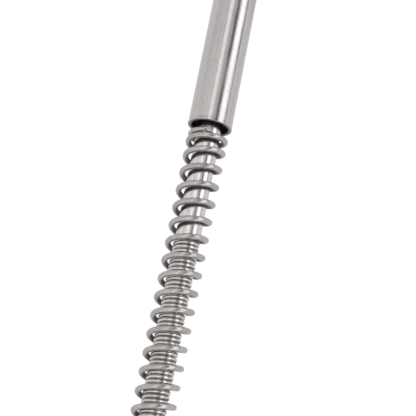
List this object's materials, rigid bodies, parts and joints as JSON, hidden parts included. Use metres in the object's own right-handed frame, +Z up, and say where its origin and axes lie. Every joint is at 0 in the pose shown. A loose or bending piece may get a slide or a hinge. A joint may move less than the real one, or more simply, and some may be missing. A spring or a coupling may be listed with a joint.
{
  "type": "drain auger",
  "caption": "Hand-cranked drain auger: straight guide tube, sliding crank shaft, and a flexible cored spring auger with a bulb head.",
  "frame": {"origin": "centre of the bounding box in plan, on the surface the tool lies on", "axes": "+X along the tool from the crank to the bulb head, +Z up with the tool lying down and its thumb screw on top"},
  "size_m": [0.8121, 0.119, 0.0582],
  "materials": {
    "bright_tube": "polished, fine drawn streaks",
    "bright_shaft": "ground bright steel",
    "core_wire": "drawn music wire, lightly oiled",
    "spring_wire": "drawn spring wire, dull",
    "weld_metal": "rough weld bead",
    "zinc_plate": "bright zinc plate",
    "satin_alloy": "satin",
    "cast_zinc": "die-cast, tumbled",
    "painted_arm": "satin black powder coat",
    "black_screws": "black oxide",
    "pad_brass": "turned",
    "black_nylon": "moulded, matt",
    "knob_plastic": "moulded, fine texture",
    "grip_rubber": "moulded rubber"
  },
  "bodies": {
    "guide": {"guide_tube": "bright_tube", "mouth_bush": "black_nylon", "top_bush": "black_nylon", "lock_collar": "cast_zinc", "collar_set_screws": "black_screws", "hand_grip": "grip_rubber", "grip_end_rings": "satin_alloy"},
    "lock_pad": {"lock_pad": "pad_brass"},
    "thumb_screw": {"thumb_screw_stem": "zinc_plate", "thumb_knob": "knob_plastic"},
    "thrust_set": {"bumper_ring": "grip_rubber", "thrust_washer": "zinc_plate"},
    "drive": {"drive_shaft": "bright_shaft", "stop_ring": "zinc_plate", "core_spring": "core_wire", "core_cable": "core_wire", "auger_spring": "spring_wire", "spring_welds": "weld_metal", "tip_ferrule": "zinc_plate", "head_coupling": "zinc_plate", "head_pin": "black_screws", "bulb_head": "spring_wire", "crank_hub": "zinc_plate", "hub_set_screw": "black_screws", "crank_arm": "painted_arm", "arm_washer": "zinc_plate", "arm_nut": "zinc_plate", "grip_axle": "zinc_plate", "axle_washer": "zinc_plate", "axle_nut": "zinc_plate"},
    "grip": {"crank_grip": "knob_plastic", "grip_cap": "knob_plastic"}
  },
  "joints": [
    {"name": "shaft_slide", "type": "slide", "parent": "guide", "child": "thrust_set", "axis": [1, 0, 0], "range_m": [0, 0.12]},
    {"name": "crank_spin", "type": "hinge", "parent": "thrust_set", "child": "drive", "pos_m": [0.12982, 0.0425, 0.017], "axis": [1, 0, 0], "continuous": true},
    {"name": "grip_spin", "type": "hinge", "parent": "drive", "child": "grip", "pos_m": [-0.31018, -0.0425, 0.017], "axis": [1, 0, 0], "continuous": true},
    {"name": "lock_pad_slide", "type": "slide", "parent": "guide", "child": "lock_pad", "axis": [0, 0, -1], "range_m": [0, 0.00125]},
    {"name": "thumb_screw_turn", "type": "hinge", "parent": "lock_pad", "child": "thumb_screw", "pos_m": [-0.13718, 0.0425, 0.017], "axis": [0, 0, -1], "range_deg": [0, 361]}
  ],
  "couplings": [
    {"joint": "thumb_screw_turn", "follows": "lock_pad_slide", "rad_per_m": 5026.5}
  ]
}
